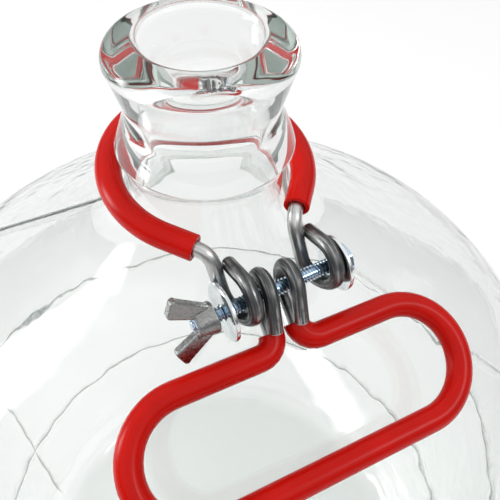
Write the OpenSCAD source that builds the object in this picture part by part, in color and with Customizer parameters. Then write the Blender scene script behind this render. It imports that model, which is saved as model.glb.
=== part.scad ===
// Glass carboy with a bolted rod clamp round its neck and a loop handle that hangs from the clamp.
// Origin: centre of the base. +Z up. The clamp and handle face -Y, and the clamp bolt runs along X.

/* [Glass body] */
// Height from the floor to the top of the mouth
total_h = 480; // [440:5:560]
// Outside diameter of the straight body
body_d = 318; // [300:1:340]
// Thickness of the body wall
wall_t = 4.6; // [3.5:0.1:6]
// Thickness of the glass over the base
base_t = 7; // [5:0.5:12]
// Radius of the curve from the body wall down to the base
heel_r = 28; // [15:1:40]
// Radius of the curve from the shoulder down to the body wall
shoulder_r = 98; // [80:1:110]
// Slope of the shoulder cone, measured from the vertical
shoulder_angle = 58; // [54:0.5:60]
// Radius of the hollow curve from the neck out to the shoulder
flare_r = 42; // [36:1:46]
// Width of the flat ring that the carboy stands on
foot_w = 13; // [8:1:20]
// Height of the push-up in the middle of the base
punt_h = 10; // [4:1:20]
// How far the mould rings stand proud of the body
ring_proud = 0.6; // [0.3:0.1:1.2]
// Height of the lower mould ring above the floor
low_ring_h = 101; // [80:1:140]
// Height of the upper mould ring above the floor
high_ring_h = 225; // [180:1:235]

/* [Mouth and neck] */
// Bore of the mouth, where the stopper goes
bore_d = 33.5; // [30:0.5:36]
// Depth of the straight bore below the mouth
bore_depth = 30; // [24:1:34]
// Radius of the rounded edge between the bore and the top of the lip
mouth_edge_r = 2.3; // [1.5:0.1:3]
// Outside diameter of the lip
lip_d = 55.4; // [52:0.2:58]
// Radius of the lip's outer edge
lip_r = 4.2; // [3:0.1:5]
// Outside diameter of the waist between lip and collar
waist_d = 47.6; // [45:0.2:50]
// Depth of the waist below the mouth
waist_drop = 20.8; // [19:0.1:23]
// Outside diameter of the collar's lower edge
collar_d = 56.4; // [55:0.2:60]
// Depth of the collar's lower edge below the mouth
collar_drop = 35.6; // [34:0.1:37]
// Outside diameter of the neck under the collar
neck_d = 52; // [49:0.2:52.5]
// Depth below the mouth at which the neck starts to flare
flare_drop = 39.5; // [38.5:0.5:43]

/* [Rod and sleeve] */
// Diameter of the steel rod
rod_d = 4.76; // [4:0.05:5.2]
// Outside diameter of the soft sleeve
sleeve_d = 8.4; // [7.4:0.1:9]
// Bore of the soft sleeve
sleeve_bore = 5.4; // [5.3:0.1:6]

/* [Neck ring] */
// Clearance between the neck and the sleeve of the ring
neck_gap = 0.9; // [0.8:0.1:1.4]
// Depth of the ring's centre below the mouth
ring_drop = 45.2; // [44.8:0.1:45.6]
// Forward tilt of the ring
ring_tilt = 9.6; // [7:0.1:11]
// How far the ring's centre lies in front of the neck's axis
ring_offset = 0.4; // [0:0.1:0.8]
// Bend radius of the rod where it turns down to its eye
ring_bend_r = 6; // [5:0.5:7]
// Bare rod between the sleeve's end and the bend
ring_bare = 0.8; // [0.2:0.1:2]

/* [Eyes of the neck ring] */
// Centreline radius of an eye
ring_eye_r = 7.1; // [7:0.1:8]
// How far the middle of an eye lies above the bolt's axis
eye_rise = 1.3; // [0:0.1:1.4]
// How far the middle of an eye lies behind the bolt's axis
eye_back = 1.4; // [0:0.1:1.5]
// Position of the left eye along the bolt
left_eye_x = -9.6; // [-9.9:0.1:-9.5]
// Position of the right eye along the bolt
right_eye_x = 19.3; // [17:0.1:22]
// Turn of an eye's lower half about the vertical, which keeps its two legs apart
eye_twist = 16.5; // [16.5:0.5:18]
// Slope of the leg that comes down to the eye, below the horizontal
leg_slope = 70; // [64:1:74]
// How far an eye curls past its top
eye_overrun = 15; // [8:1:20]
// Length of the straight end that points back at the neck
tail_len = 9; // [5:0.5:9.5]

/* [Handle] */
// Length of the straight strands, between the centres of the round ends
grip_len = 74.2; // [60:0.1:85]
// Centreline radius of the round ends
grip_end_r = 19.1; // [17:0.1:22]
// Distance from the bolt's axis to the centreline of the near strand
strand_drop = 17.9; // [17:0.1:20]
// How far the grip's middle lies to the left of the middle of the handle's eyes
grip_shift = 2.4; // [0:0.1:4]
// Tilt of the handle in its own plane, left end up
handle_skew = 3.3; // [0:0.1:4.5]
// Centreline radius of a handle eye
handle_eye_r = 6; // [5.6:0.1:6.1]
// Distance from the bolt's axis down to the plane of the legs and the grip
leg_drop = 5.9; // [5.6:0.1:6.1]
// Sideways slope of the legs that join the eyes to the grip
leg_cant = 2.5; // [0:0.5:3]
// Middle of the two handle eyes along the bolt
handle_eye_x = 0.8; // [0.7:0.1:3]
// Distance between the two handle eyes
handle_eye_gap = 9; // [8.7:0.1:9.1]
// Bend radius where a strand turns up to its eye
strand_bend_r = 6; // [5:0.5:7]
// Distance from the bolt's axis to the sleeve's mouth
eye_leg = 12; // [11:0.1:12.5]
// Distance from the bolt's axis to the cut end of the rod, which closes the eye
cut_leg = 12.2; // [10:0.1:12.3]
// Gap between the cut end and the leg that it closes on
cut_gap = 0.3; // [0.2:0.1:0.8]
// Gap between the near strand's sleeve and the shoulder at rest
seat_gap = 0.3; // [0.2:0.1:0.6]

/* [Bolt, washers and wing nut] */
// Distance from the neck's axis to the bolt's axis
bolt_reach = 44; // [43.8:0.1:46]
// Depth of the bolt's axis below the mouth
bolt_drop = 62.5; // [62:0.5:65]
// Diameter of the bolt
bolt_d = 4.8; // [4:0.1:5]
// Length of the bolt under its head
bolt_len = 51; // [50:1:60]
// Width of the hexagonal head across its flats
head_flats = 9.5; // [7:0.1:11]
// Height of the head
head_h = 4.2; // [3:0.1:6]
// Diameter of the washers
washer_d = 19; // [16:0.5:20]
// Bore of the washers
washer_bore = 5.4; // [5.3:0.1:6]
// Thickness of the washers
washer_t = 1.2; // [0.8:0.1:1.6]
// Gap between a washer and the eye beside it
washer_gap = 0.2; // [0.1:0.1:0.5]
// Gap between the left washer and the wing nut
nut_gap = 2.6; // [1:0.1:5]
// Diameter of the wing nut's hub
hub_d = 10.4; // [9:0.1:11]
// Length of the wing nut's hub
hub_len = 6.5; // [5:0.1:8]
// Distance between the outer edges of the two wings
wing_span = 24; // [20:0.5:24.5]
// How far the wings reach behind the hub's front face
wing_reach = 14; // [11:0.5:18]
// Thickness of the wings
wing_t = 3; // [2:0.1:4]
// Turn of the wings about the bolt, the upper one backwards from the vertical
wing_turn = 15; // [0:1:90]
// Running clearance between the bolt and the wing nut
thread_gap = 0.05; // [0.02:0.01:0.1]

/* [Hidden] */
$fn = 96;

// ---------- colours ----------
glass_colour = [0.86, 0.93, 0.91, 0.35];
sleeve_colour = [0.80, 0.10, 0.08];
rod_colour = [0.30, 0.30, 0.31];
zinc_colour = [0.72, 0.75, 0.80];
cast_colour = [0.55, 0.56, 0.56];

// ---------- points and vectors ----------
function unit(v) = v / norm(v);
// Points of an arc in a flat outline, from angle a0 to angle a1
function arc(centre, r, a0, a1, steps = 12) =
    [for (i = [0:steps]) let (a = a0 + (a1 - a0) * i / steps) centre + r * [cos(a), sin(a)]];
// Corners of the straight-sided path that an arc of n equal bends rounds off.
// The arc is centre + r * (cos(a) * u + sin(a) * v).
function bend_corners(centre, r, u, v, a0, a1, n) =
    let (half = (a1 - a0) / n / 2)
    [for (i = [0:n - 1]) let (a = a0 + half * (2 * i + 1))
        centre + r / cos(half) * (cos(a) * u + sin(a) * v)];

// ---------- bent rod: a path of corners, each rounded by its own bend radius ----------
function turn_of(p, i) = let (d = unit(p[i] - p[i - 1]), e = unit(p[i + 1] - p[i])) acos(min(1, d * e));
function setback(p, r, i) = (i == 0 || i == len(p) - 1) ? 0 : r[i] * tan(turn_of(p, i) / 2);
// Angles for rotate() that carry X to the radius, Y to the heading and Z to the axis of a bend
function bend_angles(rad, head, ax) =
    norm([rad.x, rad.y]) < 1e-6
        ? [atan2(-sign(rad.z) * head.x, head.y), -90 * sign(rad.z), 0]
        : [atan2(head.z, ax.z), asin(-rad.z), atan2(rad.y, rad.x)];

module straight(a, b, d) {
    run = b - a;
    translate(a)
        rotate([0, acos(run.z / norm(run)), atan2(run.y, run.x)])
            cylinder(d = d, h = norm(run));
}

module bend(p, r, i, d) {
    head = unit(p[i] - p[i - 1]);
    next = unit(p[i + 1] - p[i]);
    inward = unit(next - (next * head) * head);
    translate(p[i] - setback(p, r, i) * head + r[i] * inward)
        rotate(bend_angles(-inward, head, cross(head, inward)))
            rotate_extrude(angle = turn_of(p, i)) translate([r[i], 0]) circle(d = d);
}

// Every bend is a hair tighter and fatter than drawn, and each straight runs a little way into
// the bends beside it, so that the pieces of one rod always join into one solid.
bend_share = 0.98;
bend_fat = 0.02;
lap = 0.15;

module bent_rod(p, full_r, d) {
    r = bend_share * full_r;
    last = len(p) - 1;
    for (i = [1:last]) {
        dir = unit(p[i] - p[i - 1]);
        straight(p[i - 1] + (i > 1 ? setback(p, r, i - 1) - lap : 0) * dir,
                 p[i] - (i < last ? setback(p, r, i) - lap : 0) * dir, d);
    }
    for (i = [1:last - 1]) bend(p, r, i, d + bend_fat);
}

// The same path with both ends a little longer, for a bore that has to break through them
function run_past(p) = let (last = len(p) - 1) concat(
    [p[0] + unit(p[0] - p[1])], [for (i = [1:last - 1]) p[i]],
    [p[last] + unit(p[last] - p[last - 1])]);

module sleeve(p, r) {
    color(sleeve_colour) difference() {
        bent_rod(p, r, sleeve_d);
        bent_rod(run_past(p), r, sleeve_bore);
    }
}

// ---------- glass ----------
body_r = body_d / 2;
neck_r = neck_d / 2;
flare_z = total_h - flare_drop;
flare_centre = [neck_r + flare_r, flare_z];
cone_top = flare_centre + flare_r * [-cos(shoulder_angle), -sin(shoulder_angle)];
cone_end_r = body_r - shoulder_r * (1 - cos(shoulder_angle));
cone_end_z = cone_top.y - (cone_end_r - cone_top.x) / tan(shoulder_angle);
shoulder_centre = [body_r - shoulder_r, cone_end_z - shoulder_r * sin(shoulder_angle)];
heel_centre = [body_r - heel_r, heel_r];
waist_curve = 12;
waist_swing = 20;
collar_edge_r = 0.8;
collar_step = 1.4;
lip_under = 26;
lip_top = 80;
bore_blend = 12;
ring_curve = 3;

// A mould ring: a shallow bulge of the body wall
function bead(h) = let (a = acos(1 - ring_proud / ring_curve))
    arc([body_r + ring_proud - ring_curve, h], ring_curve, a, -a, 4);

module glass_outline() {
    lip_centre = [lip_d / 2 - lip_r, total_h - mouth_edge_r - lip_r * 0.74];
    edge_centre = [bore_d / 2 + mouth_edge_r, total_h - mouth_edge_r];
    waist_centre = [waist_d / 2 + waist_curve, total_h - waist_drop];
    collar_centre = [collar_d / 2 - collar_edge_r, total_h - collar_drop + collar_edge_r];
    polygon(concat(
        [[0, total_h - mouth_edge_r], [bore_d / 2, total_h - mouth_edge_r]],
        arc(edge_centre, mouth_edge_r, 180, 90, 8),
        arc(lip_centre, lip_r, lip_top, -lip_under, 12),
        arc(waist_centre, waist_curve, 180 - waist_swing, 180 + waist_swing, 12),
        arc(collar_centre, collar_edge_r, waist_swing, -90, 5),
        [[neck_r, total_h - collar_drop - collar_step]],
        arc(flare_centre, flare_r, 180, 180 + shoulder_angle, 20),
        arc(shoulder_centre, shoulder_r, shoulder_angle, 0, 24),
        bead(high_ring_h), bead(low_ring_h),
        arc(heel_centre, heel_r, 0, -90, 14),
        [[body_r - heel_r - foot_w, 0]],
        [[(body_r - heel_r - foot_w) * 0.75, punt_h * 0.7], [0, punt_h]]));
}

module glass_hollow() {
    foot_r = body_r - heel_r - foot_w;
    flare_in = flare_r + wall_t;
    polygon(concat(
        [[0, total_h + 1], [bore_d / 2, total_h + 1], [bore_d / 2, total_h - bore_depth]],
        [[neck_r - wall_t, total_h - bore_depth - bore_blend]],
        arc(flare_centre, flare_in, 184, 180 + shoulder_angle, 20),
        arc(shoulder_centre, shoulder_r - wall_t, shoulder_angle, 0, 24),
        arc(heel_centre, heel_r - wall_t, 0, -80, 14),
        [[foot_r, base_t], [foot_r * 0.75, punt_h * 0.7 + base_t], [0, punt_h + base_t]]));
}

module carboy_glass() {
    color(glass_colour) rotate_extrude() difference() {
        glass_outline();
        glass_hollow();
    }
}

// ---------- neck ring ----------
bolt_z = total_h - bolt_drop;
bolt_c = [0, -bolt_reach, bolt_z];
ring_r = neck_r + neck_gap + sleeve_d / 2 + ring_offset;
ring_c = [0, -ring_offset, total_h - ring_drop];
ring_front = [0, -cos(ring_tilt), -sin(ring_tilt)];
eye_lower_r = ring_eye_r / cos(eye_twist);
eye_out = [sin(eye_twist), -cos(eye_twist), 0];

// Middle of an eye, centre of its lower half, and the line of the leg that runs down into it
function eye_middle(x) = [x, eye_back - bolt_reach, bolt_z + eye_rise];
function eye_centre(x) = eye_middle(x) - [ring_eye_r * tan(eye_twist), 0, 0];
leg_dir = cos(leg_slope) * eye_out - [0, 0, sin(leg_slope)];
function leg_foot(x) = eye_centre(x)
    - eye_lower_r * (sin(leg_slope) * eye_out + [0, 0, cos(leg_slope)]);
// Where the leg's line meets the plane of the ring
function knee(x) =
    let (n = cross([1, 0, 0], ring_front), foot = leg_foot(x))
    foot + leg_dir * (((ring_c - foot) * n) / (leg_dir * n));
// Angle on the ring, from +X towards the front, at which the tangent to the knee leaves it
function leave_angle(x, side) =
    let (k = knee(x) - ring_c, kx = k.x, kf = k * ring_front)
    atan2(kf, kx) - side * acos(ring_r / norm([kx, kf]));

ring_left_a = leave_angle(left_eye_x, -1);
ring_right_a = leave_angle(right_eye_x, 1);
ring_bends = 4;

// From the tail at the neck, over the top of the bolt and down its outer side
function eye_upper(x) =
    bend_corners(eye_middle(x), ring_eye_r, [0, 0, 1], [0, -1, 0], -eye_overrun, 90, 2);
// Under the bolt and up to the leg on the neck side
function eye_lower(x) =
    bend_corners(eye_centre(x), eye_lower_r, eye_out, [0, 0, -1], 0, 90 + leg_slope, 2);
function tail_end(x) = eye_middle(x)
    + ring_eye_r * [0, sin(eye_overrun), cos(eye_overrun)]
    + tail_len * [0, cos(eye_overrun), -sin(eye_overrun)];
function eye_path(x) = concat([tail_end(x)], eye_upper(x), eye_lower(x), [knee(x)]);
function flip(list) = [for (i = [len(list) - 1:-1:0]) list[i]];

eye_radii = [0, ring_eye_r, ring_eye_r, eye_lower_r, eye_lower_r, ring_bend_r];
ring_corners = bend_corners(ring_c, ring_r, [1, 0, 0], ring_front,
                            ring_left_a, ring_right_a + 360, ring_bends);
ring_radii = [for (i = [1:ring_bends]) ring_r];
ring_path = concat(eye_path(left_eye_x), ring_corners, flip(eye_path(right_eye_x)));
ring_path_r = concat(eye_radii, ring_radii, flip(eye_radii));

// The sleeve stops short of each knee's bend
function knee_stop(k, from, next) =
    let (d = unit(from - k), e = unit(k - next), half = acos(min(1, (-d) * (-e))) / 2)
    k + (ring_bend_r * tan(half) + ring_bare) * d;
ring_first = ring_corners[0];
ring_last = ring_corners[ring_bends - 1];
ring_sleeve_path = concat(
    [knee_stop(knee(left_eye_x), ring_first, leg_foot(left_eye_x))],
    ring_corners,
    [knee_stop(knee(right_eye_x), ring_last, leg_foot(right_eye_x))]);
ring_sleeve_r = concat([0], ring_radii, [0]);

module neck_ring_rod() {
    color(rod_colour) bent_rod(ring_path, ring_path_r, rod_d);
}

module neck_ring_sleeve() {
    sleeve(ring_sleeve_path, ring_sleeve_r);
}

// ---------- handle ----------
// The handle leans out until the near strand's sleeve rests on the shoulder cone
cone_normal = [cos(shoulder_angle), sin(shoulder_angle)];
bolt_over_cone = ([bolt_reach, bolt_z] - cone_top) * cone_normal;
bar_r = norm([strand_drop, leg_drop]);
bar_turn = atan(leg_drop / strand_drop);
handle_lean = shoulder_angle + bar_turn - asin((bolt_over_cone - sleeve_d / 2 - seat_gap) / bar_r);

out_dir = [0, -sin(handle_lean), -cos(handle_lean)];
face_dir = [0, -cos(handle_lean), sin(handle_lean)];
along = cos(handle_skew) * [1, 0, 0] + sin(handle_skew) * out_dir;
across = cos(handle_skew) * out_dir - sin(handle_skew) * [1, 0, 0];
leg_way = cos(leg_cant) * across - sin(leg_cant) * along;
// s runs along the strands, t away from the bolt and q up from the handle's plane through the bolt
function on_handle(s, t, q) = bolt_c + [handle_eye_x, 0, 0] + s * along + t * across + q * face_dir;
// The same from an eye's middle, with t along the canted legs
function on_leg(side, t, q) = on_handle(side * handle_eye_gap / 2, 0, q) + t * leg_way;

eye_mid_q = handle_eye_r - leg_drop;
strand_t = strand_drop;
far_t = strand_drop + 2 * grip_end_r;
// The cut leg leaves the eye at a slant that brings its end in front of the other leg
cut_q = cut_gap + rod_d - leg_drop;
cut_reach = norm([cut_leg, eye_mid_q - cut_q]);
cut_slant = 90 - acos(handle_eye_r / cut_reach) + atan((eye_mid_q - cut_q) / cut_leg);
// From the cut end up in front of the bolt, over it and down behind it
function handle_eye(side) = concat(
    [on_leg(side, cut_leg, cut_q)],
    bend_corners(on_leg(side, 0, eye_mid_q), handle_eye_r, face_dir, -leg_way,
                 -cut_slant, 180, 3));
function grip_end(side) = [
    on_handle(side * (grip_len / 2 + grip_end_r) - grip_shift, strand_t, -leg_drop),
    on_handle(side * (grip_len / 2 + grip_end_r) - grip_shift, far_t, -leg_drop)];
function strand_turn(side) = [on_leg(side, strand_t / cos(leg_cant), -leg_drop)];

handle_loop = concat(strand_turn(-1), grip_end(-1), flip(grip_end(1)), strand_turn(1));
handle_loop_r = [strand_bend_r, grip_end_r, grip_end_r, grip_end_r, grip_end_r, strand_bend_r];
handle_eye_radii = [0, handle_eye_r, handle_eye_r, handle_eye_r];
handle_path = concat(handle_eye(-1), handle_loop, flip(handle_eye(1)));
handle_path_r = concat(handle_eye_radii, handle_loop_r, flip(handle_eye_radii));
handle_sleeve_path = concat([on_leg(-1, eye_leg, -leg_drop)], handle_loop,
                            [on_leg(1, eye_leg, -leg_drop)]);
handle_sleeve_r = concat([0], handle_loop_r, [0]);

module handle_rod() {
    color(rod_colour) bent_rod(handle_path, handle_path_r, rod_d);
}

module handle_sleeve() {
    sleeve(handle_sleeve_path, handle_sleeve_r);
}

// ---------- bolt, washers and wing nut ----------
// Widest reach of the left eye towards its washer, at the washer's rim
left_reach = (ring_eye_r + washer_d / 2 - eye_back) * tan(eye_twist) + rod_d / 2;
nut_washer_x = left_eye_x - left_reach - washer_gap - washer_t;
head_washer_x = right_eye_x + rod_d / 2 + washer_gap;
head_x = head_washer_x + washer_t;
nut_face_x = nut_washer_x - nut_gap;

// Puts an outline drawn round the Z axis on the bolt's axis, with Z pointing to +X
module on_bolt(x) {
    translate(bolt_c + [x, 0, 0]) rotate([0, 90, 0]) children();
}

module clamp_bolt() {
    chamfer = 0.8;
    color(zinc_colour) on_bolt(head_x) {
        translate([0, 0, -bolt_len]) cylinder(d = bolt_d, h = bolt_len);
        intersection() {
            cylinder(d = head_flats / cos(30), h = head_h, $fn = 6);
            union() {
                cylinder(d = head_flats / cos(30) + 1, h = head_h - chamfer);
                translate([0, 0, head_h - chamfer])
                    cylinder(d1 = head_flats / cos(30) + 0.2, d2 = head_flats - 0.6, h = chamfer);
            }
        }
    }
}

module washer(x) {
    color(zinc_colour) on_bolt(x) difference() {
        cylinder(d = washer_d, h = washer_t);
        translate([0, 0, -1]) cylinder(d = washer_bore, h = washer_t + 2);
    }
}

module head_washer() {
    washer(head_washer_x);
}

module nut_washer() {
    washer(nut_washer_x);
}

// One wing, drawn with its root on the hub: x away from the bolt, y back from the hub's face
module wing_outline() {
    half = wing_span / 2;
    polygon([[hub_d / 2 - 2.5, 0.8], [hub_d / 2 - 0.2, 1], [half - 0.6, wing_reach - 3.8],
             [half, wing_reach - 2.6], [half - 0.5, wing_reach - 1.6], [half - 4, wing_reach],
             [half - 5.2, wing_reach - 0.3], [half - 5.8, wing_reach - 1.1],
             [hub_d / 2 - 2.6, hub_len - 0.4]]);
}

module wing_nut() {
    color(cast_colour) on_bolt(nut_face_x) rotate([180, 0, -wing_turn]) difference() {
        union() {
            cylinder(d1 = hub_d, d2 = hub_d - 1.4, h = hub_len);
            for (side = [0, 180])
                rotate([90, 0, side]) translate([0, 0, -wing_t / 2])
                    linear_extrude(wing_t) wing_outline();
        }
        translate([0, 0, -1]) cylinder(d = bolt_d + 2 * thread_gap, h = wing_reach + 2);
    }
}

carboy_glass();
neck_ring_rod();
neck_ring_sleeve();
handle_rod();
handle_sleeve();
clamp_bolt();
head_washer();
nut_washer();
wing_nut();
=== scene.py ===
"""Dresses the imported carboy: blown glass bottle, sleeved wire handle and bolted neck clamp.

Everything is in metres in the frame of the CAD model: origin at the centre of the base, +Z up,
the clamp and the handle towards -Y, and the clamp bolt along X with its head at +X.
"""

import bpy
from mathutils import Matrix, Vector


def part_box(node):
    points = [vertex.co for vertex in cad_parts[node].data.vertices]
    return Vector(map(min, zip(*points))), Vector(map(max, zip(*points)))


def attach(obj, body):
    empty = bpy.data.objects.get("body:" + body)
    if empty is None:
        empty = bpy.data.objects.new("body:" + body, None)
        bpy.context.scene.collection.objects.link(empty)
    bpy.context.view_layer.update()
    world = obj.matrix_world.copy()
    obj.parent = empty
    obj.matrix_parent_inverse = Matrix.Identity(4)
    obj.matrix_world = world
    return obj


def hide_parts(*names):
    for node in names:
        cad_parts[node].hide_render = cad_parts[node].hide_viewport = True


bl_info = {
    "name": "Carboy with clamped handle",
    "version": (1, 0, 0),
    "blender": (4, 5, 0),
    "location": "View3D > Sidebar > Carboy",
    "description": "Builds the looks of a glass carboy round its packed CAD model",
    "category": "Object",
}

from math import acos, asin, atan, atan2, ceil, cos, degrees, exp, hypot, pi, radians, remainder, sin, tan

import bmesh
import bpy
from bpy.props import FloatProperty, FloatVectorProperty, PointerProperty
from mathutils import Matrix, Vector

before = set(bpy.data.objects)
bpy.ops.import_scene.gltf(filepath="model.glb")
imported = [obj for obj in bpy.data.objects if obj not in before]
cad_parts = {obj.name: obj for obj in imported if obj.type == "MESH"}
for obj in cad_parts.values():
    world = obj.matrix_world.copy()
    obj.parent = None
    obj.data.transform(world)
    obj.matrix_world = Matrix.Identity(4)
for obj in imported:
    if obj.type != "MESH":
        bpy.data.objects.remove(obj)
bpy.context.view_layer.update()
MM = 0.001


def length(name, mm, note):
    return FloatProperty(name=name, description=note, default=mm * MM, unit="LENGTH", precision=5)


def angle(name, turn, note):
    return FloatProperty(name=name, description=note, default=radians(turn), unit="ROTATION")


def colour(name, rgb, note):
    return FloatVectorProperty(name=name, description=note, subtype="COLOR", default=rgb, min=0, max=1)


# -------- settings


class CarboyGlassSettings(bpy.types.PropertyGroup):
    total: length("Height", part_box("carboy_glass")[1].z / MM, "From the floor to the top of the mouth")
    body_d: length("Body diameter", 318, "Outside diameter of the straight body")
    wall: length("Wall", 4.6, "Thickness of the body wall")
    base: length("Base", 7, "Thickness of the glass over the base")
    heel_r: length("Heel radius", 28, "Curve from the body wall down to the base")
    shoulder_r: length("Shoulder radius", 98, "Curve from the shoulder down to the body wall")
    shoulder_angle: angle("Shoulder slope", 58, "Slope of the shoulder cone from the vertical")
    flare_r: length("Flare radius", 42, "Hollow curve from the neck out to the shoulder")
    foot_w: length("Foot width", 13, "Width of the flat ring under the base")
    punt_h: length("Punt height", 10, "Push-up in the middle of the base")
    ring_proud: length("Mould ring", 0.6, "How far the mould rings stand proud of the body")
    ring_half: length("Mould ring half width", 2.8, "From a mould ring's crest to its edge")
    low_ring_h: length("Lower mould ring", 101, "Height of the lower mould ring")
    high_ring_h: length("Upper mould ring", 225, "Height of the upper mould ring")
    bore_d: length("Mouth bore", 33.5, "Bore of the mouth")
    bore_depth: length("Bore depth", 30, "Depth of the straight bore")
    mouth_edge_r: length("Mouth edge", 2.3, "Rounding between the bore and the top of the lip")
    lip_d: length("Lip diameter", 55.4, "Outside diameter of the lip")
    lip_r: length("Lip edge radius", 4.2, "Rounding of the lip's outer edge")
    waist_d: length("Waist diameter", 47.6, "Outside diameter between lip and collar")
    waist_drop: length("Waist depth", 20.8, "Depth of the waist below the mouth")
    waist_curve: length("Waist curve", 12, "Radius of the hollow of the waist")
    waist_swing: angle("Waist swing", 20, "Half of the angle that the waist's curve turns through")
    collar_d: length("Collar diameter", 56.4, "Outside diameter of the collar's lower edge")
    collar_drop: length("Collar depth", 35.6, "Depth of the collar's lower edge below the mouth")
    collar_edge_r: length("Collar edge", 0.8, "Rounding of the collar's lower edge")
    neck_d: length("Neck diameter", 52, "Outside diameter of the neck under the collar")
    flare_drop: length("Flare depth", 39.5, "Depth at which the neck starts to flare")
    seam_h: length("Seam height", 0.34, "How far the mould seams stand proud")
    seam_w: length("Seam width", 1.1, "Half width of a mould seam")
    tint: colour("Glass", (0.918, 0.928, 0.922), "Colour of the clear glass")
    # Painted shade: the darker colour that rays caught in the neck and the lip take, in place of their dark
    # inner reflections
    caught_shade: colour("Deep glass", (0.36, 0.42, 0.39), "Colour where light is caught in the neck and the lip")
    straight: colour("Straight light", (0.9, 0.91, 0.905), "Colour of shadows and of very long paths")


class CarboyClampSettings(bpy.types.PropertyGroup):
    rod_d: length("Rod", 4.76, "Diameter of the steel rod")
    sleeve_d: length("Sleeve", 8.4, "Outside diameter of the soft sleeve")
    sleeve_bore: length("Sleeve bore", 5.4, "Bore of the soft sleeve")
    neck_gap: length("Neck clearance", 0.9, "Clearance between the neck and the ring's sleeve")
    ring_drop: length("Ring depth", 45.2, "Depth of the ring's centre below the mouth")
    ring_tilt: angle("Ring tilt", 9.6, "Forward tilt of the ring")
    ring_offset: length("Ring offset", 0.4, "How far the ring lies in front of the neck's axis")
    ring_bend_r: length("Knee radius", 6, "Bend where the ring turns down to its eye")
    ring_bare: length("Bare rod", 0.8, "Bare rod between the ring's sleeve and its knee")
    ring_eye_r: length("Ring eye radius", 7.1, "Centreline radius of an eye of the ring")
    eye_rise: length("Ring eye rise", 1.3, "How far an eye's middle lies above the bolt's axis")
    eye_back: length("Ring eye setback", 1.4, "How far an eye's middle lies behind the bolt's axis")
    left_eye_x: length("Left eye", -9.6, "Position of the left eye along the bolt")
    right_eye_x: length("Right eye", 19.3, "Position of the right eye along the bolt")
    eye_twist: angle("Eye twist", 16.5, "Turn of an eye's lower half about the vertical")
    leg_slope: angle("Leg slope", 70, "Slope of the leg that comes down to the eye")
    eye_overrun: angle("Eye overrun", 15, "How far an eye curls past its top")
    tail_len: length("Tail", 9, "Straight end that points back at the neck")
    grip_len: length("Grip", 74.2, "Length of the handle's straight strands")
    grip_end_r: length("Grip end radius", 19.1, "Centreline radius of the handle's round ends")
    strand_drop: length("Strand distance", 17.9, "From the bolt's axis to the near strand")
    grip_shift: length("Grip shift", 2.4, "How far the grip lies to the left of its eyes")
    handle_skew: angle("Handle skew", 3.3, "Tilt of the handle in its own plane")
    handle_eye_r: length("Handle eye radius", 6, "Centreline radius of a handle eye")
    leg_drop: length("Leg drop", 5.9, "From the bolt's axis down to the plane of the legs and the grip")
    leg_cant: angle("Leg cant", 2.5, "Sideways slope of the legs")
    handle_eye_x: length("Handle eyes", 0.8, "Middle of the handle eyes along the bolt")
    handle_eye_gap: length("Handle eye gap", 9, "Distance between the two handle eyes")
    strand_bend_r: length("Strand bend", 6, "Bend where a strand turns up to its eye")
    eye_leg: length("Eye leg", 12, "From the bolt's axis to the sleeve's mouth")
    cut_leg: length("Cut leg", 12.2, "From the bolt's axis to the rod's cut end")
    cut_gap: length("Cut gap", 0.3, "Gap between the cut end and the leg that it closes on")
    seat_gap: length("Seat gap", 0.3, "Gap between the resting handle and the shoulder")
    bolt_reach: length("Bolt reach", 44, "From the neck's axis to the bolt's axis")
    bolt_drop: length("Bolt depth", 62.5, "Depth of the bolt's axis below the mouth")
    bolt_d: length("Bolt", 4.8, "Diameter of the bolt over its thread")
    bolt_len: length("Bolt length", 51, "Length of the bolt under its head")
    thread_pitch: length("Thread pitch", 1.0583, "Distance from one thread crest to the next")
    thread_depth: length("Thread depth", 0.55, "Depth of the thread")
    head_flats: length("Head", 9.5, "Width of the hexagonal head across its flats")
    head_h: length("Head height", 4.2, "Height of the head")
    washer_d: length("Washer", 19, "Diameter of the washers")
    washer_bore: length("Washer bore", 5.4, "Bore of the washers")
    washer_t: length("Washer thickness", 1.2, "Thickness of the washers")
    washer_gap: length("Washer gap", 0.2, "Gap between a washer and the eye beside it")
    nut_gap: length("Nut gap", 2.6, "Gap between the left washer and the wing nut")
    hub_d: length("Hub", 10.4, "Diameter of the wing nut's hub")
    hub_len: length("Hub length", 6.5, "Length of the wing nut's hub")
    wing_span: length("Wing span", 24, "Distance between the outer edges of the wings")
    wing_reach: length("Wing reach", 14, "How far the wings reach behind the hub's face")
    wing_t: length("Wing thickness", 3, "Thickness of the wings")
    wing_turn: angle("Wing turn", 15, "Turn of the wings about the bolt")
    sleeve_red: colour("Sleeve", (0.51, 0.004, 0.001), "Colour of the soft sleeves")
    steel_dark: colour("Rod steel", (0.088, 0.09, 0.093), "Dark mill finish of the rod")
    steel_worn: colour("Worn steel", (0.7, 0.7, 0.69), "Steel where the mill finish has rubbed off")
    zinc: colour("Zinc plate", (0.5, 0.62, 0.74), "Bluish plating of the bolt")
    bright_zinc: colour("Bright zinc", (0.7, 0.73, 0.74), "Bright plating of the washers")
    cast: colour("Casting", (0.28, 0.285, 0.28), "Grey of the cast wing nut")


class CarboyStageSettings(bpy.types.PropertyGroup):
    floor: colour("Floor", (0.93, 0.93, 0.93), "Colour of the floor")
    wall: colour("Walls", (0.18, 0.182, 0.185), "Colour of the room near the horizon")
    ceiling: colour("Ceiling", (1, 1, 1), "Colour of the room overhead")
    sky: FloatProperty(name="Room light", description="Strength of the soft light all round", default=1.07)
    camera: FloatVectorProperty(
        name="Camera", description="Place of the camera", default=(-0.06357, -0.13694, 0.56223), precision=5,
    )
    heading: angle("Heading", 30.5, "Heading of the view, from +Y towards +X")
    pitch: angle("Pitch", 48.46, "How far the view looks down")
    roll: angle("Roll", 1.27, "Roll of the camera")
    lens: FloatProperty(name="Lens", description="Focal length in millimetres", default=43.2)


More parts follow.
